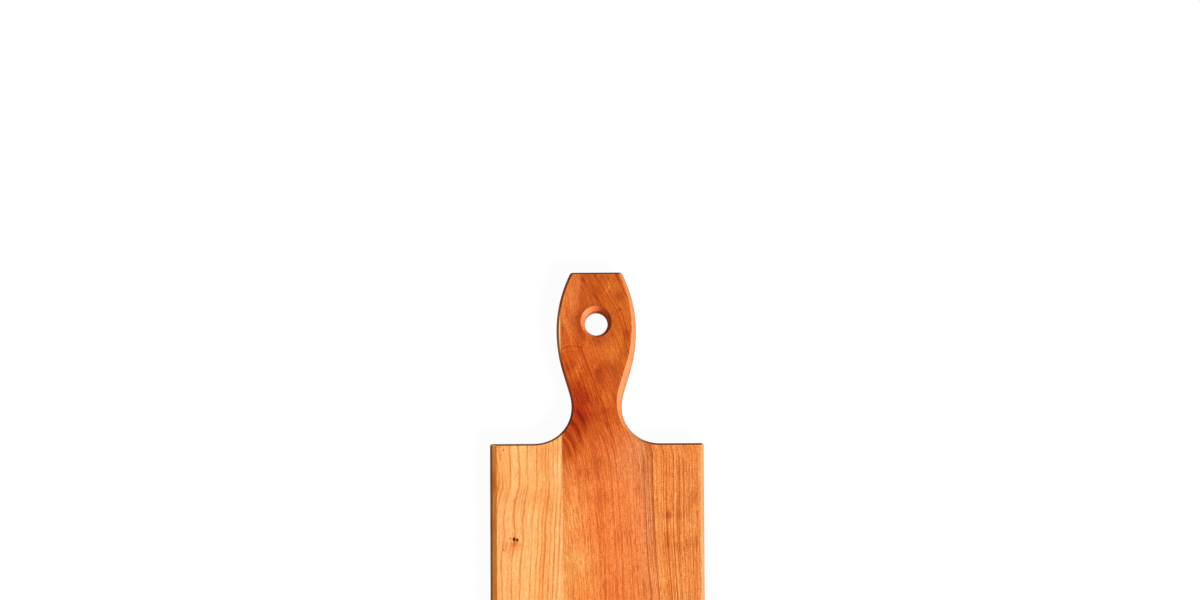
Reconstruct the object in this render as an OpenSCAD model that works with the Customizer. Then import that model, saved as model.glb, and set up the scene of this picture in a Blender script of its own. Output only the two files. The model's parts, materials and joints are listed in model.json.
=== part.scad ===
// Paddle charcuterie board: two hardwood staves glued edge to edge into a blank, which is
// sawn to a square blade with one long handle, drilled for hanging and rounded on every edge.
// The origin is the middle of the underside, +Y runs towards the handle, and +Z is up.

/* [Blade] */
// Width of the blade, across the staves
blade_w = 178; // [150:1:220]
// Length of the blade, from its bottom end to the shoulders
blade_len = 406; // [300:1:460]
// Thickness of the whole board
board_t = 19; // [15:0.5:25]
// Radius of the blade's four corners, seen from above
blade_corner_r = 1.6; // [1:0.1:8]

/* [Handle] */
// Length of the handle, from the shoulders to its end
handle_len = 142.5; // [130:0.5:160]
// Width of the neck, where the fingers close round it
neck_w = 41.8; // [36:0.1:46]
// Distance of the neck from the shoulders
neck_up = 30.2; // [28.5:0.1:36]
// Width of the grip at its widest
bulge_w = 66.3; // [61:0.1:74]
// Angle of the grip's sides to its axis where it flares from the neck
flare_angle = 17; // [15:0.5:18.5]
// Radius of the hollow curve just above the neck
throat_r = 38.5; // [30:0.5:48]
// Radius of the full curve below the widest place
belly_r = 117; // [90:1:128]
// Radius of the full curve above the widest place
crown_r = 106; // [80:1:140]
// Radius of the two corners at the handle's end
end_corner_r = 2.8; // [1.5:0.1:6]

/* [Shoulders] */
// Radius of the hollow corner between neck and shoulder
fillet_r = 29.8; // [25:0.1:31]
// How far round that corner turns before it eases out into the shoulder
fillet_turn = 70; // [55:1:76]

/* [Hanging hole] */
// Diameter of the hole
hole_d = 19; // [14:0.5:24]
// Distance of the hole's middle from the handle's end
hole_down = 43; // [36:0.5:52]
// Width and depth of the rounding on the hole's two rims
hole_ease = 2.2; // [1:0.1:3]
// Width of the worn part of the upper rim, where it is widest
worn_rim_w = 5.6; // [5:0.1:7]
// Depth of the worn part of the upper rim
worn_rim_d = 7.4; // [6:0.1:9]
// How far the wood has turned down where the round of that worn part begins
worn_rim_turn = 40; // [35:0.5:46]
// How far the worn part sits off the hole's middle, towards the handle's end
worn_rim_shift = 2.1; // [1:0.1:2.4]

/* [Rounded edges] */
// Width of the rounding on the blade's left side, seen on the upper face
left_side_w = 5.7; // [1.5:0.1:7]
// Width of the rounding on the blade's right side
right_side_w = 2.6; // [1.5:0.1:7]
// Width of the rounding on the shoulders and the blade's bottom end
shoulder_w = 1.4; // [1:0.1:4]
// Width of the rounding on the left side of the handle
left_grip_w = 2; // [1:0.1:4]
// Width of the rounding on the right side of the neck
right_neck_w = 3.8; // [1:0.1:5]
// Width of it where the right side flares, and is worn most
right_flare_w = 5.2; // [1:0.1:6]
// Width of it where the grip is widest
right_bulge_w = 3.6; // [1:0.1:5]
// Width of it next to the handle's end
right_top_w = 2.2; // [1:0.1:4]
// Width of the rounding on the handle's end
end_w = 1.2; // [1:0.1:4]
// Share of a rounding's width that is worn down to a flat bevel
bevel_share = 0.62; // [0.4:0.01:0.75]
// How far the wood has turned down where the round below that bevel begins
bevel_turn = 30.5; // [25:0.5:38]
// Depth of a worn rounding, as a share of its width: the blade's sides and the right grip
worn_depth_share = 1.03; // [0.8:0.01:1.2]
// Depth of a crisp rounding, as a share of its width: the shoulders, ends and left grip
crisp_depth_share = 1.5; // [1.2:0.01:1.8]
// Width of the underside's rounding
under_w = 2; // [1:0.1:4]
// Depth of the underside's rounding, up the edge
under_d = 2.4; // [1:0.1:5]

/* [Glue line] */
// Width of the narrow stave's remnant at the grip's widest place
remnant_w = 3.45; // [2.6:0.05:5]
// Angle between the glue line and the board's length
glue_lean = 0.53; // [0:0.01:0.8]
// Thickness of the glue film
glue_t = 0.15; // [0.1:0.05:0.3]

/* [Hidden] */
$fn = 128;

// How far each cut and each splitting block runs past what it cuts
over = 10;

board_len = blade_len + handle_len;
shoulder_y = blade_len - board_len / 2;
side_x = blade_w / 2;
neck_x = neck_w / 2;
bulge_x = bulge_w / 2;
hole_r = hole_d / 2;
hole_y = board_len / 2 - hole_down;

// The grip's right edge, as distances from the axis and heights above the shoulders.
// Each arc starts where the last stretch ends, in the same direction.
turn_up = neck_up - fillet_r * sin(fillet_turn);
toe_r = turn_up / (1 - sin(fillet_turn));
toe_x = neck_x + fillet_r - (fillet_r - toe_r) * cos(fillet_turn);
flare_rise = (bulge_x - neck_x - (belly_r + throat_r) * (1 - cos(flare_angle))) / tan(flare_angle);
bulge_up = neck_up + (throat_r + belly_r) * sin(flare_angle) + flare_rise;
crown_x = bulge_x - crown_r;

// Radius of the corners of the flat faces, inside the rounding
face_corner_r = blade_corner_r / 4;

// Straight steps in each arc of the outline, and in each rounding
corner_steps = 3;
toe_steps = 4;
fillet_steps = 12;
throat_steps = 4;
belly_steps = 6;
crown_steps = 10;
round_steps = 4;

// Each rounding of the upper face, as its width and its depth
left_side = left_side_w * [1, worn_depth_share];
right_side = right_side_w * [1, worn_depth_share];
shoulder = shoulder_w * [1, crisp_depth_share];
end = end_w * [1, crisp_depth_share];
left_grip = left_grip_w * [1, crisp_depth_share];
right_neck = right_neck_w * [1, worn_depth_share];
right_flare = right_flare_w * [1, worn_depth_share];
right_bulge = right_bulge_w * [1, worn_depth_share];
right_top = right_top_w * [1, worn_depth_share];

// Each point of the outline is three places, level with each other along the edge:
// on the sawn edge, at the rim of the upper face, and at the rim of the underside.
// Its fourth value is how deep the upper rounding is there.
function on_arc(centre, r, angle) = centre + r * [cos(angle), sin(angle)];

// An arc whose wood lies towards its centre (inward is -1) or away from it (inward is 1).
// The upper face's rounding changes from one to another along it.
function arc(centre, r, from, to, steps, inward, round_from, round_to, first = 0) = [
  for (i = [first:steps])
    let (t = i / steps, a = from + t * (to - from), w = round_from + t * (round_to - round_from))
    [on_arc(centre, r, a), on_arc(centre, r + inward * w.x, a), on_arc(centre, r + inward * under_w, a), w.y]
];

// A small corner, rounded about a centre of its own at each of the three places
function corner(centres, radii, from, to, d_from, d_to, first = 0) = [
  for (i = [first:corner_steps])
    let (t = i / corner_steps, a = from + t * (to - from))
    concat([for (k = [0:2]) on_arc(centres[k], radii[k], a)], d_from + t * (d_to - d_from))
];

corner_radii = [blade_corner_r, face_corner_r, face_corner_r];
end_radii = [end_corner_r, face_corner_r, face_corner_r];

// A corner of the blade: up is 1 at the shoulder and -1 at the bottom end
function blade_corner(at, up, side) =
  let (
    insets = [[0, 0], [side.x, shoulder.x], [under_w, under_w]],
    centres = [for (k = [0:2]) at - [insets[k].x + corner_radii[k], up * (insets[k].y + corner_radii[k])]]
  )
  up > 0
    ? corner(centres, corner_radii, 0, 90, side.y, shoulder.y)
    : corner(centres, corner_radii, -90, 0, shoulder.y, side.y);

// Where the corner at the handle's end has its centre: inside both the crown and the end
function end_centre(side_inset, end_inset, r) =
  let (up = handle_len - end_inset - r, reach = crown_r - side_inset - r)
  [crown_x + sqrt(reach * reach - (up - bulge_up) * (up - bulge_up)), up];

function crown_and_end(bulge, top) =
  let (
    insets = [[0, 0], [top.x, end.x], [under_w, under_w]],
    centres = [for (k = [0:2]) end_centre(insets[k].x, insets[k].y, end_radii[k])],
    turns = [for (c = centres) atan2(c.y - bulge_up, c.x - crown_x)],
    crown = [
      for (i = [1:crown_steps])
        let (t = i / crown_steps, w = bulge + t * (top - bulge), sides = [0, w.x, under_w])
        concat([for (k = [0:2]) on_arc([crown_x, bulge_up], crown_r - sides[k], t * turns[k])], w.y)
    ]
  )
  concat(crown, corner(centres, end_radii, turns[0], 90, top.y, end.y, 1));

// The right half of the outline, from the bottom corner up to the handle's end. Its roundings
// are given for the blade's side, the neck, the flare, the widest place and the end's corner.
function half_outline(side, neck, flare, bulge, top) = concat(
  blade_corner([side_x, -blade_len], -1, side),
  blade_corner([side_x, 0], 1, side),
  arc([toe_x, toe_r], toe_r, 270, 180 + fillet_turn, toe_steps, 1, shoulder, shoulder),
  arc([neck_x + fillet_r, neck_up], fillet_r, 180 + fillet_turn, 180, fillet_steps, 1, shoulder, neck, 1),
  arc([neck_x + throat_r, neck_up], throat_r, 180, 180 - flare_angle, throat_steps, 1, neck, flare, 1),
  arc([bulge_x - belly_r, bulge_up], belly_r, -flare_angle, 0, belly_steps, -1, flare, bulge),
  crown_and_end(bulge, top)
);

right_half = half_outline(right_side, right_neck, right_flare, right_bulge, right_top);
left_half = half_outline(left_side, left_grip, left_grip, left_grip, left_grip);
half_count = len(right_half);
ring_count = 2 * half_count;

// The whole outline, anticlockwise from the bottom right corner
ring = concat(
  right_half,
  [
    for (i = [half_count - 1:-1:0])
      let (p = left_half[i])
      [[-p[0].x, p[0].y], [-p[1].x, p[1].y], [-p[2].x, p[2].y], p[3]]
  ]
);

// Profile of a worn rounding: step 0 is the face's rim, step 1 the foot of the bevel, and
// the last step the sawn edge. The round runs on from the bevel without a break.
// turn is how far the wood has turned down by the foot of the bevel.
function turned(step, turn) = turn + (step - 1) / (round_steps - 1) * (90 - turn);
function bevel_fall(turn) = bevel_share / (1 - bevel_share) * tan(turn) * (1 - sin(turn)) / cos(turn);
function out_share(step, turn) =
  step == 0 ? 0 : 1 - (1 - bevel_share) * (1 - sin(turned(step, turn))) / (1 - sin(turn));
function down_share(step, turn) =
  step == 0 ? 0 : 1 - cos(turned(step, turn)) / cos(turn) / (1 + bevel_fall(turn));

// One closed loop of the board's skin round the upper rounding
function upper_loop(step) = [
  for (p = ring)
    let (q = p[1] + (p[0] - p[1]) * out_share(step, bevel_turn))
    [q.x, q.y + shoulder_y, board_t - p[3] * down_share(step, bevel_turn)]
];

// One round the underside's: angle is 0 at the face's rim and 90 on the sawn edge
function under_loop(angle) = [
  for (p = ring)
    let (q = p[2] + (p[0] - p[2]) * sin(angle))
    [q.x, q.y + shoulder_y, under_d * (1 - cos(angle))]
];

loop_count = 2 * (round_steps + 1);
skin_points = concat(
  [for (k = [0:round_steps], p = under_loop(90 * k / round_steps)) p],
  [for (k = [round_steps:-1:0], p = upper_loop(k)) p],
  [[0, shoulder_y - blade_len / 2, 0], [0, shoulder_y - blade_len / 2, board_t]]
);

// Two triangles between neighbouring loops for each step of the outline
wall_faces = [
  for (k = [0:loop_count - 2], j = [0:ring_count - 1])
    let (
      a = k * ring_count + j,
      b = a + ring_count,
      c = (k + 1) * ring_count + (j + 1) % ring_count,
      d = c - ring_count
    )
    each [[a, b, c], [a, c, d]]
];

// A flat face is a fan over the blade and a ladder of strips up the handle
toe_start = 2 * (corner_steps + 1);
blade_rim = [for (i = [0:ring_count - 1]) if (i <= toe_start || i >= ring_count - 1 - toe_start) i];
fan_faces = [for (i = [0:len(blade_rim) - 1]) [-1, blade_rim[i], blade_rim[(i + 1) % len(blade_rim)]]];
ladder_faces = [
  for (i = [toe_start:half_count - 2])
    let (left = ring_count - 1 - i)
    each [[i, i + 1, left - 1], [i, left - 1, left]]
];

// The same triangles for either face: middle is the fan's point, and base starts its loop
function flat_face(middle, base) = [
  for (f = concat(fan_faces, ladder_faces)) [for (i = f) i < 0 ? middle : base + i]
];

upper_face = flat_face(loop_count * ring_count + 1, (loop_count - 1) * ring_count);
skin_faces = concat(
  flat_face(loop_count * ring_count, 0),
  wall_faces,
  [for (f = upper_face) [f[2], f[1], f[0]]]
);

// What rounds a rim of the hole, turned from a section of shares out and down the profile
module rim_cutter(r, w, d, profile) {
  bends = [for (p = profile) [r + w * (1 - p.x), -d * p.y]];
  rotate_extrude() polygon(concat([[0, -d], [0, over], [r + w, over]], bends));
}

module hanging_hole() {
  quarter_round = [for (i = [0:round_steps]) let (a = 90 * i / round_steps) [sin(a), 1 - cos(a)]];
  worn_round = [for (i = [0:round_steps]) [out_share(i, worn_rim_turn), down_share(i, worn_rim_turn)]];
  translate([0, hole_y, -over]) cylinder(r = hole_r, h = board_t + 2 * over);
  translate([0, hole_y, board_t]) rim_cutter(hole_r, hole_ease, hole_ease, quarter_round);
  mirror([0, 0, 1]) translate([0, hole_y, 0]) rim_cutter(hole_r, hole_ease, hole_ease, quarter_round);
  translate([0, hole_y + worn_rim_shift, board_t])
    rim_cutter(hole_r - worn_rim_shift, worn_rim_w, worn_rim_d, worn_round);
}

// The finished board before it is told apart into its pieces
module whole_board() {
  difference() {
    polyhedron(skin_points, skin_faces);
    hanging_hole();
  }
}

// Block beside the glue line, between two distances from it, below or above the neck
module beside_glue_line(from, to, above) {
  low = above ? neck_up - bulge_up : -board_len;
  high = above ? board_len : neck_up - bulge_up;
  translate([remnant_w - bulge_x, shoulder_y + bulge_up, -over])
    rotate([0, 0, glue_lean])
      translate([from, low, 0])
        cube([to - from, high - low, board_t + 2 * over]);
}

// The narrow stave, as it is left along the blade
module narrow_stave() {
  color([0.95, 0.66, 0.42])
    intersection() {
      whole_board();
      beside_glue_line(-board_len, -glue_t / 2, false);
    }
}

// The wide stave, which holds the rest of the blade and all of the handle's middle
module wide_stave() {
  color([0.82, 0.44, 0.22])
    difference() {
      whole_board();
      beside_glue_line(-board_len, glue_t / 2, false);
      beside_glue_line(-board_len, glue_t / 2, true);
    }
}

// What the saw left of the narrow stave on the handle's left side
module handle_remnant() {
  color([0.93, 0.63, 0.4])
    intersection() {
      whole_board();
      beside_glue_line(-board_len, -glue_t / 2, true);
    }
}

module blade_glue_line() {
  color([0.55, 0.27, 0.12])
    intersection() {
      whole_board();
      beside_glue_line(-glue_t / 2, glue_t / 2, false);
    }
}

module handle_glue_line() {
  color([0.55, 0.27, 0.12])
    intersection() {
      whole_board();
      beside_glue_line(-glue_t / 2, glue_t / 2, true);
    }
}

narrow_stave();
wide_stave();
handle_remnant();
blade_glue_line();
handle_glue_line();
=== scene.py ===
import json
import math
import bmesh
import bpy
import numpy as np
from mathutils import Matrix, Vector


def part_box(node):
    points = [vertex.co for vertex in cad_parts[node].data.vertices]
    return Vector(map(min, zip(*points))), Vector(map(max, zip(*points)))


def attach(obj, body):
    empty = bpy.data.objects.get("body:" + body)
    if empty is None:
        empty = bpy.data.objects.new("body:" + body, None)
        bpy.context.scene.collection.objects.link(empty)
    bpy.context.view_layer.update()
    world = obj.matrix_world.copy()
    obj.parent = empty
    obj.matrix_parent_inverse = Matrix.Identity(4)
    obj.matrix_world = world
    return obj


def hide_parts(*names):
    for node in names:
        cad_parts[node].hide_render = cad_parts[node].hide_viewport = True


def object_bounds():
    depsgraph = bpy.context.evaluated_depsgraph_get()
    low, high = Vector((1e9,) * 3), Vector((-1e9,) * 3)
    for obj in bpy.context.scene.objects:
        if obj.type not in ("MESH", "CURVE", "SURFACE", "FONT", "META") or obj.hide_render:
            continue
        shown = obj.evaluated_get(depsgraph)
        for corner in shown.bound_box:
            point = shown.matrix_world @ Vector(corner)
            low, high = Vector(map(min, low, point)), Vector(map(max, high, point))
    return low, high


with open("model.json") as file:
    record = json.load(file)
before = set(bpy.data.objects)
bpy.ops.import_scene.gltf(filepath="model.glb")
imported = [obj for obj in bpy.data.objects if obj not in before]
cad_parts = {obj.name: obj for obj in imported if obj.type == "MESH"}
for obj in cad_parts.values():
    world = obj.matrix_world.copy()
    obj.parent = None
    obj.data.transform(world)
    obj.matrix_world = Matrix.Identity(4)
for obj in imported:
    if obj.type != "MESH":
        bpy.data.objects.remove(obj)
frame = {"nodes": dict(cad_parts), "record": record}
cad_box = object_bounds()
scene = bpy.context.scene


# Table and daylight
# A white tabletop that the board lies on, in a room with white walls and a dark ceiling. A
# bright key light comes from the lower right, a long soft one from the right, and a weak
# one fills in from the upper left.
table_reach = 6.0
# The paint's greys, the grey that is left of it where the camera looks, and the white glow
# that makes up the rest there: the board's shadow shows only in what is left of the paint
paint_greys = (0.30, 0.34)
seen_grey = 0.06
seen_glow = 0.96
# How bright the air is for the board itself, and how high the white of the walls reaches
air_level = 0.08
wall_fades = (0.35, 0.2)
# Each lamp: the way from the board to it, its strength and how wide it looks, in degrees
lamps = {
    "key_light": ((0.57, -0.49, 0.66), 3.7, 16),
    "right_light": ((0.87, -0.12, 0.48), 1.2, 46),
    "left_light": ((-0.50, 0.10, 0.86), 0.25, 40),
}


def put(tree, kind, values, out=0, **settings):
    """Adds a node. Its values are numbers, colours or other nodes' outputs, by input."""
    made = tree.nodes.new("ShaderNode" + kind)
    for name, setting in settings.items():
        setattr(made, name, setting)
    for name, value in values.items():
        if isinstance(value, bpy.types.NodeSocket):
            tree.links.new(value, made.inputs[name])
        else:
            made.inputs[name].default_value = value
    return made.outputs[out] if made.outputs else None


def reckon(tree, way, *values):
    """One sum of plain numbers"""
    return put(tree, "Math", dict(enumerate(values)), operation=way)


def part(tree, vector, axis):
    """A vector's x, y or z, for axis 0, 1 or 2"""
    return put(tree, "SeparateXYZ", {0: vector}, axis)


def on_view(tree):
    """1 for what the camera sees, straight or in a reflection or through glass"""
    seen = put(tree, "LightPath", {}, "Is Camera Ray")
    mirrored = put(tree, "LightPath", {}, "Is Glossy Ray")
    through = put(tree, "LightPath", {}, "Is Transmission Ray")
    return reckon(tree, "MAXIMUM", reckon(tree, "MAXIMUM", seen, mirrored), through)


tabletop_mesh = bpy.data.meshes.new("tabletop")
tabletop_form = bmesh.new()
bmesh.ops.create_grid(tabletop_form, x_segments=8, y_segments=8, size=table_reach)
tabletop_form.to_mesh(tabletop_mesh)
tabletop_form.free()
tabletop = bpy.data.objects.new("tabletop", tabletop_mesh)
scene.collection.objects.link(tabletop)

white_top = bpy.data.materials.new("white_tabletop")
white_top.use_nodes = True
tree = white_top.node_tree
tree.nodes.clear()
shown = on_view(tree)
cloud = put(tree, "TexNoise", {"Scale": 9.0, "Detail": 3.0})
paint = put(tree, "MapRange", {0: cloud, 3: paint_greys[0], 4: paint_greys[1]})
painted = put(tree, "Mix", {0: shown, 2: paint, 3: seen_grey})
diffuse = put(tree, "BsdfDiffuse", {"Color": painted, "Roughness": 0.6})
glow_level = reckon(tree, "MULTIPLY", shown, seen_glow)
glow = put(tree, "Emission", {"Color": (1, 1, 1, 1), "Strength": glow_level})
whole = put(tree, "AddShader", {0: diffuse, 1: glow})
put(tree, "OutputMaterial", {"Surface": whole})
tabletop_mesh.materials.append(white_top)

room = bpy.data.worlds.new("room")
room.use_nodes = True
tree = room.node_tree
tree.nodes.clear()
upward = part(tree, put(tree, "TexCoord", {}, "Generated"), 2)
walls = put(tree, "MapRange", {0: upward, 1: wall_fades[0], 2: wall_fades[1], 3: air_level, 4: 1.0})
level = put(tree, "Mix", {0: on_view(tree), 2: air_level, 3: walls})
air = put(tree, "Background", {"Color": (1, 1, 1, 1), "Strength": level})
put(tree, "OutputWorld", {"Surface": air})
scene.world = room

for name, (toward, strength, width) in lamps.items():
    light = bpy.data.lights.new(name, "SUN")
    light.energy = strength
    light.angle = math.radians(width)
    lamp = bpy.data.objects.new(name, light)
    lamp.rotation_euler = Vector(toward).to_track_quat("Z", "Y").to_euler()
    scene.collection.objects.link(lamp)


# Camera
# It looks straight down on the handle and the top of the blade, tipped back and turned by
# a hair, and leaves the rest of the board below the frame.
looked_at = Vector((0.0033, 0.2513, 0.019))
camera_height = 2.5
camera_tip = 0.045
camera_roll = -0.0052
camera_turn = Matrix.Rotation(camera_tip, 4, "X") @ Matrix.Rotation(camera_roll, 4, "Z")
camera_data = bpy.data.cameras.new("camera")
camera_data.lens = 90
camera_data.sensor_width = 36
camera = bpy.data.objects.new("camera", camera_data)
camera_at = looked_at + camera_turn.col[2].xyz * camera_height
camera.matrix_world = Matrix.Translation(camera_at) @ camera_turn
scene.collection.objects.link(camera)
scene.camera = camera
scene.view_settings.view_transform = "Standard"


# Narrow stave
# The pale stave along the blade's left side, sapwood sawn with its growth rings nearly
# flat to the left and steeper towards the glue joint. Planed, sanded and oiled.
mm = 0.001
board_t = cad_box[1].z - cad_box[0].z
# The staves' meshes are cut into cells of this size, so that they can carry the grain, and
# none at the far side is narrower than a sliver. Corners closer than the weld are one.
cell = 3 * mm
sliver = 0.1 * mm
weld = 1e-6
# Faces that meet at less than the first angle are joined into one before that, and those
# that meet at more than the second keep a sharp edge
flat_within = math.radians(0.2)
sharp_from = math.radians(25)

# How far each growth line has drifted across the board at these places along it, read off
# in millimetres; a line is named by where it meets the middle of the board's length
pale_stations = [-276, -160, -40, 2, 34, 50, 58, 66, 82, 98, 112, 125, 280]
pale_lines = {
    -100: [4, 6, 3, 0, -0.5, -0.5, -0.5, -0.5, 0, 1, 2, 2, 2],
    -84.5: [4, 6, 3, 0, -0.5, -0.5, -0.3, 0, 2.8, 7.4, 6.2, 2.6, 2],
    -78.5: [4, 6, 3, 0, -1.6, 0, 2.2, 0.2, 2.6, 6.9, 6.8, 6.2, 6],
    -71.5: [5, 6.5, 3, 0, 0.8, 3.6, 4.4, 2, 2.7, 7.2, 7.8, 6.1, 6],
    -65: [5.5, 7, 3.4, 0.3, 1.6, 3.9, 3.6, 3.2, 5.2, 8.2, 6.9, 7.1, 7],
    -57.2: [6, 7, 3.6, 0.5, 2.2, 3.5, 3.2, 2.6, 5, 7.8, 7.4, 7.6, 7.6],
    -46: [6, 6.5, 3, 0.1, 1.9, 3.2, 3.1, 3.5, 5.2, 7, 5.6, 6.1, 6.1],
    -34: [5, 6, 2.5, 0, 1.8, 2.4, 2.6, 2.8, 3.8, 4.9, 4.6, 4.8, 4.8],
    -10: [4, 4.5, 2, 0, 1.6, 2, 2.1, 2.4, 3.2, 4, 4, 4, 4],
}
# The lines are worked out at every step along the board, to just past its ends, and then
# smoothed over so many places on either side
ring_reach = 290.0
ring_step = 2.0
ring_smoothing = 2
# How far the rings lean over on the way down through the board, at these rings
pale_tilt = ([-86, -28], [1.6, 0.6])

# The first and the last ring that the colours and the growth lines below cover
pale_rings = (-86, -28)
# The wood's colour at each of these rings
pale_heart = [
    (-84, (0.97, 0.41, 0.115, 1)), (-76, (0.985, 0.48, 0.16, 1)), (-70, (0.97, 0.455, 0.14, 1)),
    (-58, (0.985, 0.485, 0.155, 1)), (-47, (0.965, 0.435, 0.12, 1)), (-34, (0.98, 0.49, 0.17, 1)),
]
# Growth lines, each as its ring, its strength and its width in millimetres
pale_late_wood = [
    (-84.5, 0.7, 1.4), (-78.5, 0.8, 1.4), (-71.5, 0.9, 1.4), (-65, 0.9, 1.4), (-57.2, 0.8, 1.4),
    (-52.5, 0.3, 2.1), (-49, 0.6, 1.3), (-46, 0.95, 1.5), (-41.8, 0.8, 1.5), (-37.8, 0.8, 1.4),
    (-33.8, 0.75, 1.3), (-30.5, 0.5, 1.2),
]
# Each darkens from so many of its widths below its ring, and ends so many above it
line_below = 0.9
line_above = 0.5
# The colour that the lines and streaks are stained with, and how strong the streaks are
pale_stain = (0.82, 0.58, 0.35, 1)
pale_busy = 0.8
# Warmer and, below zero, lighter patches: each is its place, half its width and length, its
# turn in degrees and its strength
pale_patches = [
    (-47, 118, 5, 17, 0, 0.4), (-52, 86, 20, 8, 0, 0.3), (-79.5, 95, 5, 10, 0, 0.25),
    (-71, 46, 8, 6, 0, 0.4), (-63, 118, 8, 13, 0, -0.35), (-34, 108, 5, 18, 0, -0.3),
    (-60, 30, 8, 20, 0, -0.2), (-43, 20, 3, 24, 0, 0.15), (-87, 101, 3.2, 9, 0, 0.9),
    (-87.5, 64, 2.2, 6, 0, 0.7),
]
pale_patch_tint = (0.82, 0.52, 0.28, 1)
# How ragged the edges of such patches are, in millimetres, and how soft
ragged_by = 5.0
patch_softness = 0.75
# Two pin knots with a brown tail each, and a few gum specks
knots = (((-69.1, 52.8), (1.15, 1.55)), ((-66.5, 52.2), (1.1, 1.3)))
knot_tails = (((-69.0, 49.3), (0.8, 2.6), -20), ((-67.3, 49.6), (0.7, 2.4), 15))
knot_shadow = ((-68.4, 50.2), (3.0, 4.2))
gum_specks = ((-72.1, 53.5), (-78.1, 44.0), (-77.8, 126.7))
gum_speck_size = (0.7, 0.8)
knot_dark = (0.10, 0.012, 0.006, 1)
knot_tail_tint = (0.93, 0.78, 0.60, 1)
knot_shadow_tint = (0.94, 0.75, 0.52, 1)
gum_tint = (0.62, 0.38, 0.2, 1)

# The hanging hole's middle and how far its worn rim reaches, which also bound the painted shade and
# highlight there
hole_at = tuple(value / mm for value in frame["record"]["mounts"][0]["pos_m"][:2])
hole_ring = 17.5
# A painted highlight on that rim: its place from the hole's middle, its size and its turn
highlight_at = (-7.4, 10.8)
highlight_size = (1.9, 5)
highlight_turn = -45

# What oil and wear did to the ends and the hole's rim, and the painted shade, sheen and highlight
# on the edges and the hole. A tint multiplies the wood's colour; the rim's bare wood and the right edges'
# painted sheen take its place as far as their share says.
end_tint = (0.72, 0.62, 0.52, 1)
steep_side_painted_shade = (0.66, 0.54, 0.42, 1)
left_edge_painted_shade = (1.1, 0.92, 0.55, 1)
right_edge_painted_sheen = (0.84, 0.32, 0.095, 1)
right_edge_sheen_share = 0.6
hole_rim_bare = (0.84, 0.20, 0.052, 1)
hole_rim_worn = 0.75
dark_edge_painted_shade = (0.52, 0.44, 0.38, 1)
hole_side_painted_shade = (0.42, 0.18, 0.09, 1)
hole_side_shade_strength = 0.9
hole_inside_painted_shade = (0.55, 0.36, 0.22, 1)
painted_highlight_tint = (1.12, 1.4, 1.9, 1)

# The wood's roughness between its coarse streaks and on them, and how much late wood and
# the steep sides add to it
skin_roughness = (0.30, 0.38)
late_wood_roughness = -0.04
steep_side_roughness = 0.35


def ring_places(stations, lines):
    """For any place along the board, where each growth line lies across it"""
    along = np.arange(-ring_reach, ring_reach, ring_step)
    window = np.ones(2 * ring_smoothing + 1)
    named = sorted(lines)
    rows = []
    for line in named:
        drift = np.interp(along, stations, lines[line])
        drift = np.convolve(np.pad(drift, ring_smoothing, "edge"), window / len(window), "valid")
        rows.append(line + drift)
    return along, np.array(named, float), np.array(rows)


def grown_stave(node, name, stations, lines, tilt):
    """A copy of a stave's solid, cut into small cells that carry how its wood has grown.

    The attribute grain holds millimetres across the growth rings, along the fibres and
    up through the thickness. tilt is how far the rings lean over on the way down."""
    form = bmesh.new()
    form.from_mesh(frame["nodes"][node].data)
    bmesh.ops.remove_doubles(form, verts=form.verts, dist=weld)
    bmesh.ops.dissolve_limit(form, angle_limit=flat_within, verts=form.verts, edges=form.edges)
    low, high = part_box(node)
    for axis in (0, 1):
        across = Vector((axis == 0, axis == 1, 0))
        step = math.ceil(low[axis] / cell)
        while step * cell < high[axis] - sliver:
            everything = form.verts[:] + form.edges[:] + form.faces[:]
            cut = {"plane_co": across * step * cell, "plane_no": across, "dist": weld}
            bmesh.ops.bisect_plane(form, geom=everything, **cut)
            step += 1
    mesh = bpy.data.meshes.new(name)
    form.to_mesh(mesh)
    form.free()
    if "custom_normal" in mesh.attributes:
        mesh.attributes.remove(mesh.attributes["custom_normal"])
    mesh.materials.clear()
    mesh.shade_smooth()
    mesh.set_sharp_from_angle(angle=sharp_from)
    along, named, rows = ring_places(stations, lines)
    grain = mesh.attributes.new("grain", "FLOAT_VECTOR", "POINT")
    for number, corner in enumerate(mesh.vertices):
        x, y, z = corner.co / mm
        here = [np.interp(y, along, row) for row in rows]
        ring = np.interp(x, here, named)
        ring -= (board_t / mm - z) * np.interp(ring, *tilt)
        grain.data[number].vector = (ring, y, z)
    piece = bpy.data.objects.new(name, mesh)
    scene.collection.objects.link(piece)
    fair = piece.modifiers.new("fair_edges", "WEIGHTED_NORMAL")
    fair.keep_sharp = True
    return piece


def times(tree, first, second):
    """One number times another"""
    return reckon(tree, "MULTIPLY", first, second)


def fibres(tree, grain, length, width, detail=2.0):
    """Streaks along the wood, of about that length and width in millimetres"""
    laid = put(tree, "Mapping", {"Vector": grain, "Scale": (1 / width, 1 / length, 1 / width)})
    return put(tree, "TexNoise", {"Vector": laid, "Scale": 1.0, "Detail": detail})


def span(tree, value, low, high, to_low=0.0, to_high=1.0):
    """Brings a value from one span of numbers to another, held at both ends"""
    return put(tree, "MapRange", {0: value, 1: low, 2: high, 3: to_low, 4: to_high})


def eased(tree, value, low, high, most=1.0):
    """0 at one number and most at the other, with a soft start and end"""
    spans = {0: value, 1: low, 2: high, 3: 0.0, 4: most}
    return put(tree, "MapRange", spans, interpolation_type="SMOOTHSTEP")


def streaked(tree, noise, to_low, to_high):
    """Brings a noise, which hardly leaves 0.3 to 0.7, to another span of numbers"""
    return span(tree, noise, 0.3, 0.7, to_low, to_high)


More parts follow.
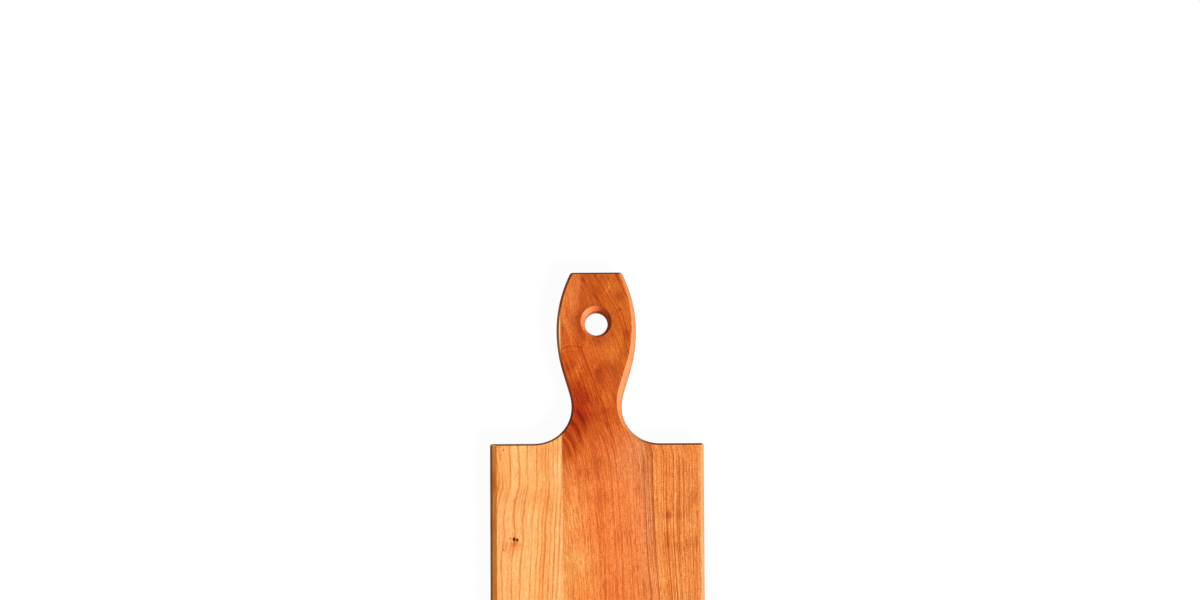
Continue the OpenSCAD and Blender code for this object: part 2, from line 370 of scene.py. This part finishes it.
def ramp(tree, value, stops, kind="EASE"):
    """A ramp through colours or grey levels, from 0 to 1"""
    made = tree.nodes.new("ShaderNodeValToRGB")
    made.color_ramp.interpolation = kind
    points = made.color_ramp.elements
    while len(points) > 1:
        points.remove(points[-1])
    for number, (place, colour) in enumerate(stops):
        point = points[0] if number == 0 else points.new(place)
        point.position = place
        point.color = colour if isinstance(colour, tuple) else (colour, colour, colour, 1)
    tree.links.new(value, made.inputs[0])
    return made.outputs[0]


class Wood:
    """What a stave's patterns are laid out by: the first and the last ring they cover, and
    the nodes for the place on the board, for the grain and for the place across the rings"""

    def __init__(self, tree, rings):
        self.tree = tree
        self.first, self.last = rings

    def share(self, ring):
        """A ring's place between the first and the last one, from 0 to 1"""
        return (ring - self.first) / (self.last - self.first)


def growth_lines(wood, across, lines, rows=2):
    """Lines of late wood, dealt out over a few ramps because one ramp holds few stops. Each
    darkens slowly from below its ring and stops short above it."""
    total = None
    for row in range(rows):
        stops = [(0.0, 0.0)]
        for ring, dark, width in lines[row::rows]:
            stops.append((wood.share(ring - line_below * width), 0.0))
            stops.append((wood.share(ring), dark))
            stops.append((wood.share(ring + line_above * width), 0.0))
        shown = ramp(wood.tree, across, stops)
        total = shown if total is None else reckon(wood.tree, "ADD", total, shown)
    return total


def tint(tree, colour, factor, toward, way="MULTIPLY"):
    """Stains a colour as far as the factor says"""
    values = {0: factor, 6: colour, 7: toward}
    kinds = {"data_type": "RGBA", "blend_type": way, "clamp_factor": True, "clamp_result": True}
    return put(tree, "Mix", values, 2, **kinds)


def figure(tree, colour, noise, amount, dark, low=0.3, high=0.7, light=(1.1, 1.24, 1.45, 1)):
    """Darkens a colour where the noise is high and lightens it where it is low"""
    shade = ramp(tree, span(tree, noise, low, high), [(0, light), (0.5, 1.0), (1, dark)], "LINEAR")
    return tint(tree, colour, amount, shade)


def spot(tree, place, at, size, turn=0, soft=0.5):
    """1 inside an oval spot of the board and 0 outside it, turned by so many degrees"""
    endless = 1e6
    settings = {"Location": (*at, 0), "Rotation": (0, 0, math.radians(turn)), "Scale": (*size, endless)}
    laid = put(tree, "Mapping", {"Vector": place, **settings}, vector_type="TEXTURE")
    away = put(tree, "VectorMath", {0: laid}, 1, operation="LENGTH")
    return eased(tree, away, 1.0 + soft, 1.0 - soft)


def marks(tree, place, placed):
    """The sum of soft oval marks with ragged edges, listed as the patches above are"""
    stir = put(tree, "TexNoise", {"Vector": place, "Scale": 0.16, "Detail": 2.0}, "Color")
    centred = put(tree, "VectorMath", {0: stir, 1: (0.5, 0.5, 0.5)}, operation="SUBTRACT")
    shift = put(tree, "VectorMath", {0: centred, 3: ragged_by}, operation="SCALE")
    ragged = put(tree, "VectorMath", {0: place, 1: shift}, operation="ADD")
    total = 0.0
    for x, y, width, length, turn, strength in placed:
        here = spot(tree, ragged, (x, y), (width, length), turn, patch_softness)
        total = reckon(tree, "MULTIPLY_ADD", here, strength, total)
    return total


def edges_oil_and_painted_light(tree, colour, place, facing, up):
    """Oil and wear on the ends and the hole's rim, and painted shade, sheen and a highlight on
    the edges and the hole. facing is the way that the surface faces. Each effect grows with
    how far it faces up, along the board or to the right, where 1 is all the way."""
    rightward = part(tree, facing, 0)
    endward = part(tree, facing, 1)
    bored = spot(tree, place, hole_at, (hole_ring, hole_ring), 0, 0.1)
    elsewhere = reckon(tree, "SUBTRACT", 1.0, bored)
    # End grain drinks more oil and is darker, and the steep sides are darkened with painted shade
    end = reckon(tree, "ABSOLUTE", endward)
    colour = tint(tree, colour, eased(tree, end, 0.2, 0.8), end_tint)
    colour = tint(tree, colour, eased(tree, up, 0.65, 0.3), steep_side_painted_shade)
    # Painted shade gives the left-facing edges a deeper orange, and a painted sheen of pale wood lightens
    # the right-facing ones, which face the lamps
    colour = tint(tree, colour, eased(tree, rightward, -0.15, -0.45), left_edge_painted_shade)
    painted_sheen = eased(tree, rightward, 0.1, 0.45, right_edge_sheen_share)
    painted_sheen = times(tree, times(tree, painted_sheen, elsewhere), up)
    colour = tint(tree, colour, painted_sheen, right_edge_painted_sheen, "MIX")
    # The hole's rim is worn down to red wood
    rim = times(tree, times(tree, eased(tree, up, 0.995, 0.80), bored), hole_rim_worn)
    colour = tint(tree, colour, rim, hole_rim_bare, "MIX")
    # Painted shade on the rounded edges that face left and towards the handle's end, away from the lamps
    turned = eased(tree, reckon(tree, "SUBTRACT", endward, rightward), 0.25, 0.5)
    rounding = times(tree, span(tree, up, 0.845, 0.77), span(tree, up, 0.1, 0.6))
    edge = times(tree, times(tree, turned, rounding), elsewhere)
    colour = tint(tree, colour, edge, dark_edge_painted_shade)
    # Painted shade darkens the hole's right side, which faces away from the lamps, and the steep inside
    # of its rim; a painted highlight lightens one place on it
    shaded = eased(tree, rightward, 0.15, -0.35, hole_side_shade_strength)
    colour = tint(tree, colour, times(tree, shaded, bored), hole_side_painted_shade)
    inner_painted_shade = times(tree, span(tree, up, 0.72, 0.55), bored)
    colour = tint(tree, colour, inner_painted_shade, hole_inside_painted_shade)
    there = (hole_at[0] + highlight_at[0], hole_at[1] + highlight_at[1])
    painted_highlight = spot(tree, place, there, highlight_size, highlight_turn, 0.6)
    return tint(tree, colour, painted_highlight, painted_highlight_tint)


def oiled_wood(name, rings, heart, late_wood, character, stain, busy):
    """A board's wood: zones of colour across the rings, late wood, fibres, figure and oil, with
    painted shade, sheen and a highlight at its edges and the hole.

    Past the rings that it covers, the pattern repeats in mirror image. heart is the colour
    at each ring, late_wood makes the growth lines, character adds what only this stave has
    to the colour, stain is the colour of its dark streaks, and busy is how strong they are."""
    made = bpy.data.materials.new(name)
    made.use_nodes = True
    tree = made.node_tree
    tree.nodes.clear()
    wood = Wood(tree, rings)
    at_object = put(tree, "TexCoord", {}, "Object")
    wood.place = put(tree, "VectorMath", {0: at_object, 3: 1 / mm}, operation="SCALE")
    grown = put(tree, "Attribute", {}, "Vector", attribute_name="grain")
    # The rings waver a little along their length
    waver = fibres(tree, grown, 60, 9, 1.0)
    nudge = put(tree, "CombineXYZ", {0: streaked(tree, waver, -0.35, 0.35)})
    grain = put(tree, "VectorMath", {0: grown, 1: nudge}, operation="ADD")
    past_first = reckon(tree, "SUBTRACT", part(tree, grain, 0), wood.first)
    folded = reckon(tree, "PINGPONG", past_first, wood.last - wood.first)
    wood.grain = grain
    wood.across = reckon(tree, "DIVIDE", folded, wood.last - wood.first)
    colour = ramp(tree, wood.across, [(wood.share(ring), zone) for ring, zone in heart])
    strength = streaked(tree, fibres(tree, grain, 60, 3, 1.0), 0.8, 1.6)
    late = times(tree, late_wood(wood), strength)
    colour = tint(tree, colour, late, stain)
    colour = character(wood, colour)
    # Long stripes, fibres, flecks and a soft figure across them, each with its strength
    stripe = fibres(tree, grain, 90, 0.75, 1.0)
    coarse = fibres(tree, grain, 20, 0.5, 1.0)
    fine = fibres(tree, grain, 5, 0.3)
    fleck = fibres(tree, grain, 1.1, 0.45, 1.0)
    cloud = fibres(tree, grain, 34, 8)
    wave = fibres(tree, grain, 15, 18)
    layers = ((stripe, 0.55), (coarse, 0.68), (fine, 0.9), (fleck, 0.8), (cloud, 0.1), (wave, 0.1))
    for layer, amount in layers:
        colour = figure(tree, colour, layer, amount * busy, stain)
    pore = span(tree, fibres(tree, grain, 2.6, 0.22, 0.0), 0.76, 0.84, 0, 0.5)
    colour = tint(tree, colour, pore, stain)
    facing = put(tree, "NewGeometry", {}, "Normal")
    up = reckon(tree, "ABSOLUTE", part(tree, facing, 2))
    colour = edges_oil_and_painted_light(tree, colour, wood.place, facing, up)
    # Late wood is a little glossier, and the steep sides are duller
    late_sheen = span(tree, late, 0, 1, 0, late_wood_roughness)
    rough = reckon(tree, "ADD", streaked(tree, coarse, *skin_roughness), late_sheen)
    rough = reckon(tree, "ADD", rough, span(tree, up, 0.85, 0.45, 0, steep_side_roughness))
    height = reckon(tree, "ADD", times(tree, coarse, 0.5), times(tree, fine, 0.35))
    height = reckon(tree, "SUBTRACT", height, times(tree, pore, 0.5))
    bump = put(tree, "Bump", {"Strength": 0.35, "Distance": 0.00006, "Height": height})
    skin = {"Base Color": colour, "Roughness": rough, "Normal": bump, "Specular IOR Level": 0.3}
    put(tree, "OutputMaterial", {"Surface": put(tree, "BsdfPrincipled", skin)})
    return made


def pale_growth_lines(wood):
    return growth_lines(wood, wood.across, pale_late_wood)


def pale_character(wood, colour):
    """Patches, two pin knots and gum specks"""
    tree = wood.tree
    place = wood.place
    patches = marks(tree, place, pale_patches)
    colour = figure(tree, colour, patches, 1.0, pale_patch_tint, -1, 1)
    colour = tint(tree, colour, spot(tree, place, *knot_shadow, 0, 0.6), knot_shadow_tint)
    for at, size, turn in knot_tails:
        colour = tint(tree, colour, spot(tree, place, at, size, turn, 0.6), knot_tail_tint)
    for at, size in knots:
        colour = tint(tree, colour, spot(tree, place, at, size, 0, 0.35), knot_dark)
    for at in gum_specks:
        colour = tint(tree, colour, spot(tree, place, at, gum_speck_size, 0, 0.4), gum_tint)
    return colour


pale_wood = oiled_wood(
    "pale_wood_oiled", pale_rings, pale_heart, pale_growth_lines, pale_character, pale_stain, pale_busy
)
narrow_piece = grown_stave("narrow_stave", "narrow_stave_wood", pale_stations, pale_lines, pale_tilt)
narrow_piece.data.materials.append(pale_wood)
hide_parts("narrow_stave")
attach(narrow_piece, "root")


# Wide stave
# The red-brown heartwood stave that holds the rest of the blade and the handle with its
# hole. Its growth lines lean to the left as they climb and sweep across the handle.
red_stations = [-276, -120, 2, 50, 98, 125, 132, 140, 147, 154, 160, 205, 240, 276]
red_lines = {
    -40: [3, 4, 0, -2.9, -9, -12, -15, -22, -30, -38, -44, -60, -66, -68],
    -8: [4, 4, 0, -2.3, -6.8, -11.5, -14, -20.5, -27, -34, -40, -52, -60, -62],
    -2.7: [4, 4, 0, -2.1, -6.3, -10.4, -12.6, -15.6, -21, -28, -34, -49, -57, -59],
    2.9: [4, 4, 0, -1.8, -5.7, -9.4, -11.9, -14.6, -16.8, -22.4, -29, -44, -54, -57],
    7.5: [5, 4, 0, -1.5, -5.1, -8.6, -11.2, -14.2, -16.2, -19.3, -23.5, -39.5, -51.5, -54.5],
    21.8: [6, 5, 0, -1.4, -4.4, -6.9, -8.8, -11.4, -13.4, -15.2, -17, -33.8, -46.3, -48],
    45: [6, 7, 0, -4, -6, -6.5, -8.8, -11.9, -14.8, -17.7, -20, -35, -48.5, -57.5],
    61.5: [5, 6, 0, -4, -4.5, -4.3, -7.3, -10.8, -13.9, -17, -19.5, -34.5, -43, -65.5],
    84: [3, 4, 0, -1.1, -0.7, -0.8, -3.6, -7.2, -10.4, -13.4, -16, -37, -46, -59],
    104: [3, 4, 0, -1.1, -0.7, -0.8, -3.6, -7.2, -10.4, -13.4, -16, -37, -46, -59],
}
red_tilt = ([-24, 86], [1.5, 0.5])
red_rings = (-24, 86)
red_heart = [
    (-24, (0.98, 0.34, 0.075, 1)), (-8, (0.97, 0.285, 0.058, 1)), (2, (0.96, 0.26, 0.05, 1)),
    (14, (0.95, 0.25, 0.052, 1)), (30, (0.94, 0.26, 0.058, 1)), (40, (0.94, 0.28, 0.072, 1)),
    (46, (0.91, 0.29, 0.08, 1)), (51, (0.89, 0.27, 0.062, 1)), (57, (0.95, 0.315, 0.066, 1)),
    (63, (0.95, 0.30, 0.062, 1)), (68, (0.965, 0.33, 0.078, 1)), (82, (0.94, 0.31, 0.072, 1)),
]
red_stain = (0.68, 0.43, 0.215, 1)
red_busy = 1.0

# The same rings show more or less on the blade, on the grip and at the neck's left. The
# grip's lines take over from the blade's between these places along the board.
grip_from = (118, 142)
blade_late_wood = [
    (-19.5, 0.40, 3.4), (-12.8, 0.26, 1.3), (-8, 0.40, 2.5), (-2.5, 0.2, 2.8), (2.8, 0.18, 1.4),
    (7.5, 0.33, 2.5), (13, 0.2, 2.3), (17.2, 0.36, 2.2), (21.8, 0.53, 1.6), (27.5, 0.25, 1.9),
    (30.5, 0.17, 2.6), (35.5, 0.15, 2.3), (39.2, 0.1, 2.2), (45, 0.6, 1.2), (48.2, 0.06, 2.2),
    (51.8, 0.75, 1.3), (54.8, 0.4, 1.0), (57.5, 0.6, 1.0), (60.2, 0.5, 0.9), (62.3, 0.6, 1.0),
    (64.6, 0.5, 0.9), (67, 0.6, 1.0), (69, 0.4, 0.8), (70.9, 0.6, 0.9), (72.6, 0.4, 0.8),
    (74.2, 0.6, 0.9), (76.1, 0.45, 0.8), (78, 0.35, 0.9), (80.5, 0.45, 1.0), (82.6, 0.35, 0.9),
]
grip_late_wood = [
    (14, 0.4, 1.2), (18.5, 0.5, 1.2), (23.5, 0.9, 1.3), (30, 0.25, 1.4), (53, 0.35, 1.1),
    (61.8, 0.8, 1.3), (70, 0.3, 1.1), (76.5, 0.6, 1.2),
]
neck_late_wood = [
    (-16.4, 0.4, 3.0), (-10.6, 0.5, 1.8), (-5.4, 0.5, 2.2), (0.6, 0.5, 2.6), (7.3, 0.8, 2.0),
]
# The zone at the neck's left, as an oval: its place, half its size, its turn and how soft it
# is. The wood there is deeper in colour, most of all in the bands, with thin light lines
# between them. The same goes for the second oval, below the grip.
neck_zone = ((-20, 140), (9.5, 23), -18, 0.45)
neck_zone_tint = (0.72, 0.48, 0.25, 1)
neck_zone_deep = 0.85
neck_band_tint = (0.80, 0.64, 0.40, 1)
neck_glints = [(-8.1, 0.8, 1.3), (-2.6, 1.0, 1.0), (3.3, 0.7, 1.7)]
neck_glint_tint = (1.5, 2.2, 3.0, 1)
low_grip_zone = ((-15, 163), (10, 18), 0, 0.6)
low_grip_tint = (0.85, 0.52, 0.22, 1)
# The handle's deeper red comes in between these places along the board, and further up by
# so much for each millimetre to the right
handle_from = (97, 156)
handle_slant = -0.6
handle_tint = (0.72, 0.46, 0.185, 1)
# Tan wood beside the glue joint: where it comes in along the board, and across it at one
# level, its slant there and how strong it gets
tan_along = (198, 262)
tan_across = (-10, -15)
tan_level = 272
tan_slant = -0.075
tan_strength = 0.8
tan_wood = (0.84, 0.235, 0.045, 1)
# Two dark, crisp lines down the blade, and where they come in on the way down
blade_seams = [(45.2, 0.7, 0.8), (51.9, 1.0, 0.9)]
seams_along = (136, 112)
seam_tint = (0.56, 0.43, 0.36, 1)
# Bolder stripes: where they come in across the rings and down the blade, how strong they are
# there and on the handle, and their length and width in millimetres
stripes_across = (0.58, 0.70)
stripes_along = (146, 116)
blade_stripes = 0.55
handle_stripes = 0.25
stripe_size = (180, 0.75)
stripe_tint = (0.68, 0.43, 0.22, 1)
# A ring that hooks off to the left below the hole, in a flat arch which tops out at that
# place and bends down by so much for each square millimetre to its side
hooked_ring = 23.5
arch_top = (-19.3, 213.1)
arch_bend = 0.027
# How far below and above the arch it bends the rings, and which rings lie there, counted
# from the hooked one
arch_reach = (-25, 0.83)
arch_rings = (-30, 1)

# A paler, greyer zone at the blade's top right of the middle
pink_patches = [(27, 118, 12, 20, 0, 0.7), (42, 84, 4.5, 42, 6, 0.5)]
pink_tint = (0.92, 1.05, 1.4, 1)
# Mottled patches and short dark or light streaks
mottle_dark = (0.62, 0.38, 0.24, 1)
mottle_light = (1.3, 1.65, 2.1, 1)
red_patches = [
    # On the blade
    (-0.7, 116, 6, 6, 0, 0.5), (-7, 106, 14, 5, 10, 0.4), (0.6, 86, 10, 6, 0, 0.3),
    (42, 118, 3.6, 15, 0, 0.3), (50, 104, 5, 20, 0, -0.25), (59.3, 72, 2.4, 5, 0, 0.8),
    (58, 52, 3, 7, 0, 0.35), (80, 87, 4, 7, 0, 0.45), (71, 73, 5, 5, 0, 0.25),
    (66, 45, 6, 4, 0, 0.3), (79, 48.5, 6, 4, 0, 0.3), (9.7, 11, 6, 7, 0, 0.15),
    (-16, 26, 8, 14, 0, -0.25), (-3, 22, 5, 14, 0, -0.35), (-13.7, 71, 8, 10, 0, -0.3),
    (-24, 65, 4, 14, 0, -0.3), (-11, 39, 10, 10, 0, -0.3), (17.6, 33, 6, 12, 0, -0.35),
    (-24, 33, 5, 16, 0, -0.35), (53, 65, 4, 18, 0, -0.4), (52, 20, 6, 16, 0, -0.4),
    (76, 63, 6, 8, 0, -0.25), (13.6, 70, 2, 12, 0, -0.4),
    # Dark ones on the handle
    (-0.8, 258.8, 6, 5, 0, 0.45), (19.3, 254.6, 4, 5, 0, 0.45), (20.3, 244, 2.5, 1.2, 20, 0.7),
    (25.6, 221.8, 2.6, 5, 0, 0.7), (22.4, 207, 3, 3.5, 0, 0.4), (2.4, 187, 3.6, 7, 22, 0.65),
    (3.4, 194.3, 6, 4, 0, 0.4), (-16.7, 235.5, 6, 7, 0, 0.25), (-22, 196.4, 5, 5, 0, 0.35),
    (-17.7, 180, 6, 7, 0, 0.4), (7.6, 159.4, 4, 3, 0, 0.5), (-2, 156, 8, 5, 0, 0.4),
    (-8.2, 169, 8, 7, 0, 0.3), (16, 193, 5, 6, 0, 0.35),
    # Light ones on the handle
    (-6.6, 218.6, 2.2, 5, -15, -0.6), (-15, 197, 2.4, 11, -20, -0.5), (2.3, 208, 9, 5, 0, -0.5),
    (14.5, 207, 5, 6, 0, -0.6), (-0.8, 196.4, 1, 1.5, 0, -0.9), (-17.7, 187, 3, 5, 0, -0.4),
    (8.7, 170, 5, 5, 0, -0.4), (10.8, 264, 1.2, 8, -25, -0.5), (-6, 160.5, 3, 3, 0, -0.3),
    # Thin dark streaks along the handle, and three broad zones
    (-10.4, 268.5, 0.8, 5, 17, 0.8), (1.3, 251.5, 0.7, 5.5, 33, 0.6), (-14, 236, 5, 18, 0, 0.35),
    (6, 273, 20, 7, 0, 0.3), (15, 217, 7, 9, 0, -0.35), (15.9, 220.7, 0.7, 8, 29, 0.6),
    (0.3, 166.4, 0.7, 4.5, 12, 0.7), (4.2, 171, 0.7, 5.5, 12, 0.7), (-8, 171.8, 0.7, 5, 14, 0.7),
    (8.2, 148, 0.8, 5, 17, 0.7),
]


def red_growth_lines(wood):
    """The blade's lines, then the grip's with the arch of the hooked ring, and the neck's"""
    tree = wood.tree
    along = part(tree, wood.grain, 1)
    blade = growth_lines(wood, wood.across, blade_late_wood, 3)
    aside = reckon(tree, "SUBTRACT", part(tree, wood.place, 0), arch_top[0])
    drop = times(tree, times(tree, aside, aside), arch_bend)
    above = reckon(tree, "ADD", reckon(tree, "SUBTRACT", along, arch_top[1]), drop)
    lowest, highest = [wood.share(hooked_ring + ring) for ring in arch_rings]
    hooked = span(tree, above, *arch_reach, lowest, highest)
    grip = growth_lines(wood, reckon(tree, "MAXIMUM", wood.across, hooked), grip_late_wood)
    neck = growth_lines(wood, wood.across, neck_late_wood)
    climb = eased(tree, along, *grip_from)
    shown_lines = put(tree, "Mix", {0: climb, 2: blade, 3: grip})
    return put(tree, "Mix", {0: spot(tree, wood.place, *neck_zone), 2: shown_lines, 3: neck})


def red_character(wood, colour):
    """Zones of deeper or paler colour, the bands at the neck, stripes and patches"""
    tree = wood.tree
    along = part(tree, wood.grain, 1)
    sideways = part(tree, wood.place, 0)
    # The handle is darker and redder, most of all at the left of the neck, where the
    # bands of late wood are dark red with thin light lines between them
    climb = eased(tree, reckon(tree, "MULTIPLY_ADD", sideways, handle_slant, along), *handle_from)
    colour = tint(tree, colour, climb, handle_tint)
    colour = tint(tree, colour, spot(tree, wood.place, *low_grip_zone), low_grip_tint)
    beside = spot(tree, wood.place, *neck_zone)
    colour = tint(tree, colour, times(tree, beside, neck_zone_deep), neck_zone_tint)
    full_bands = [(ring, 1.0, width) for ring, dark, width in neck_late_wood]
    bands = growth_lines(wood, wood.across, full_bands)
    colour = tint(tree, colour, times(tree, beside, bands), neck_band_tint)
    glints = growth_lines(wood, wood.across, neck_glints, 1)
    colour = tint(tree, colour, times(tree, beside, glints), neck_glint_tint)
    # A tan zone beside the glue joint, up on the grip
    over = reckon(tree, "SUBTRACT", along, tan_level)
    slanted = reckon(tree, "MULTIPLY_ADD", over, tan_slant, sideways)
    tan = eased(tree, slanted, *tan_across, tan_strength)
    tan = times(tree, tan, eased(tree, along, *tan_along))
    colour = tint(tree, colour, tan, tan_wood, "MIX")
    # The two crisp lines, low down on the blade
    seams = growth_lines(wood, wood.across, blade_seams, 1)
    low_down = span(tree, along, *seams_along)
    colour = tint(tree, colour, times(tree, low_down, seams), seam_tint)
    # The blade's right third is striped more boldly, and the handle a little more
    striped = times(tree, span(tree, wood.across, *stripes_across), span(tree, along, *stripes_along))
    on_blade = times(tree, striped, blade_stripes)
    on_handle = times(tree, climb, handle_stripes)
    amount = reckon(tree, "MAXIMUM", on_blade, on_handle)
    stripe = fibres(tree, wood.grain, *stripe_size, 1.0)
    colour = figure(tree, colour, stripe, amount, stripe_tint, 0.36, 0.64)
    pink = marks(tree, wood.place, pink_patches)
    colour = tint(tree, colour, pink, pink_tint)
    patches = marks(tree, wood.place, red_patches)
    return figure(tree, colour, patches, 1.0, mottle_dark, -1, 1, mottle_light)


red_wood = oiled_wood(
    "red_wood_oiled", red_rings, red_heart, red_growth_lines, red_character, red_stain, red_busy
)
wide_piece = grown_stave("wide_stave", "wide_stave_wood", red_stations, red_lines, red_tilt)
wide_piece.data.materials.append(red_wood)
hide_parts("wide_stave")
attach(wide_piece, "root")


# Handle remnant
# The sliver of the pale stave that the saw left on the grip's left side, past the joint. It
# is cut from the same board as the narrow stave, so its rings and its oil are the same.
remnant_piece = grown_stave("handle_remnant", "handle_remnant_wood", pale_stations, pale_lines, pale_tilt)
remnant_piece.data.materials.append(pale_wood)
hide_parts("handle_remnant")
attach(remnant_piece, "root")


# Glue lines
# Two thin films of dried wood glue between the staves, scraped and sanded flush and oiled
# with the rest, so they show as a hairline a little darker than the wood.
glue_dark = (0.34, 0.10, 0.03, 1)
glue_light = (0.62, 0.22, 0.07, 1)
dried_glue = bpy.data.materials.new("dried_glue")
dried_glue.use_nodes = True
tree = dried_glue.node_tree
tree.nodes.clear()
at_object = put(tree, "TexCoord", {}, "Object")
beads = put(tree, "TexNoise", {"Vector": at_object, "Scale": 160.0, "Detail": 3.0})
amber = ramp(tree, beads, [(0.3, glue_dark), (0.7, glue_light)])
gloss = streaked(tree, beads, 0.42, 0.55)
bump = put(tree, "Bump", {"Strength": 0.3, "Distance": 0.00005, "Height": beads})
skin = put(tree, "BsdfPrincipled", {"Base Color": amber, "Roughness": gloss, "Normal": bump})
put(tree, "OutputMaterial", {"Surface": skin})
for line in ("blade_glue_line", "handle_glue_line"):
    frame["nodes"][line].material_slots[0].material = dried_glue
